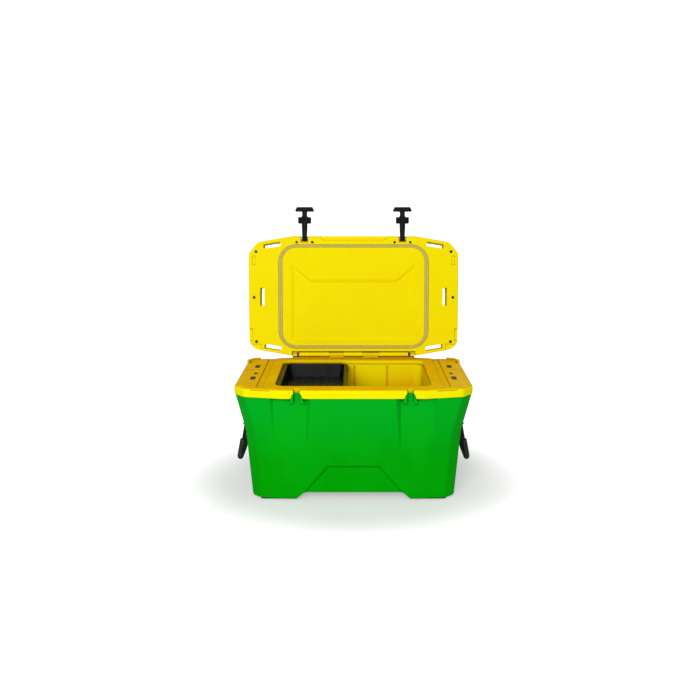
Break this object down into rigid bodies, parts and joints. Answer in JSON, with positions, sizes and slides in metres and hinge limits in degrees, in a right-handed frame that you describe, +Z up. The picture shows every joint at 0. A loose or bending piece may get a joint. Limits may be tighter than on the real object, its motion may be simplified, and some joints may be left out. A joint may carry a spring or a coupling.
{
  "type": "cooler chest",
  "caption": "Insulated cooler chest with a hinged lid, rubber T latches, swing handles, a lift-out tray, a drain plug and rubber feet.",
  "frame": {"origin": "on the floor under the middle of the chest, between the four feet", "axes": "+Z up, -Y towards the user (front, latch side), +X to the user's right; the lid stands open 100 degrees at rest"},
  "size_m": [0.7284, 0.5077, 0.8469],
  "materials": {
    "green_shell": "moulded polyethylene, satin, green",
    "yellow_shell": "moulded polyethylene, satin, yellow",
    "yellow_lid": "moulded polyethylene, satin, yellow",
    "foam": "sprayed-in insulating foam, pale cream",
    "foot_rubber": "ribbed rubber, black",
    "latch_rubber": "moulded rubber, satin black",
    "seal": "soft seal, beige grey",
    "washer": "rubber washer",
    "black_plastic": "moulded plastic, black",
    "tray_plastic": "moulded plastic, black, slightly glossy",
    "grip_rubber": "rubber sleeve, satin dark grey",
    "bail_metal": "bent rod, black coating",
    "vent_brown": "moulded plastic, brown",
    "screw_steel": "blackened screws",
    "pin_steel": "drawn steel rod"
  },
  "bodies": {
    "tub": {"outer_shell": "green_shell", "inner_liner": "yellow_shell", "body_foam": "foam", "rubber_feet": "foot_rubber", "foot_screws": "screw_steel", "drain_bushing": "black_plastic", "drain_washer": "washer", "deck_plugs": "black_plastic", "vent_plugs": "vent_brown", "handle_bracket_left": "black_plastic", "handle_bracket_right": "black_plastic", "handle_pins_left": "pin_steel", "handle_pins_right": "pin_steel", "bracket_screws_left": "screw_steel", "bracket_screws_right": "screw_steel", "hinge_rod": "pin_steel", "hinge_caps": "black_plastic"},
    "lid": {"lid_inner_panel": "yellow_lid", "lid_cover": "yellow_lid", "lid_foam": "foam", "lid_gasket": "seal", "lid_screws": "screw_steel", "latch_block_left": "black_plastic", "latch_block_right": "black_plastic", "latch_pin_left": "pin_steel", "latch_pin_right": "pin_steel", "latch_screws_left": "screw_steel", "latch_screws_right": "screw_steel"},
    "latch_left": {"latch_left": "latch_rubber"},
    "latch_right": {"latch_right": "latch_rubber"},
    "handle_left": {"handle_bail_left": "bail_metal", "handle_grip_left": "grip_rubber"},
    "handle_right": {"handle_bail_right": "bail_metal", "handle_grip_right": "grip_rubber"},
    "tray": {"dry_tray": "tray_plastic"},
    "drain": {"drain_plug": "black_plastic"}
  },
  "joints": [
    {"name": "lid_hinge", "type": "hinge", "parent": "tub", "child": "lid", "pos_m": [0, 0.1945, 0.362], "axis": [-1, 0, 0], "range_deg": [-100, 0]},
    {"name": "latch_left_pivot", "type": "hinge", "parent": "lid", "child": "latch_left", "pos_m": [-0.163, 0.25947, 0.74199], "axis": [-1, 0, 0], "range_deg": [-90, 0]},
    {"name": "latch_right_pivot", "type": "hinge", "parent": "lid", "child": "latch_right", "pos_m": [0.163, 0.25947, 0.74199], "axis": [-1, 0, 0], "range_deg": [-90, 0]},
    {"name": "handle_left_pivot", "type": "hinge", "parent": "tub", "child": "handle_left", "pos_m": [-0.3315, 0, 0.206], "axis": [0, 1, 0], "range_deg": [-10, 125]},
    {"name": "handle_right_pivot", "type": "hinge", "parent": "tub", "child": "handle_right", "pos_m": [0.3315, 0, 0.206], "axis": [0, -1, 0], "range_deg": [-10, 125]},
    {"name": "tray_lift", "type": "slide", "parent": "tub", "child": "tray", "axis": [0, 0, 1], "range_m": [0, 0.2]},
    {"name": "drain_turn", "type": "hinge", "parent": "tub", "child": "drain", "pos_m": [0.3, 0.095, 0.076], "axis": [1, 0, 0], "continuous": true}
  ]
}
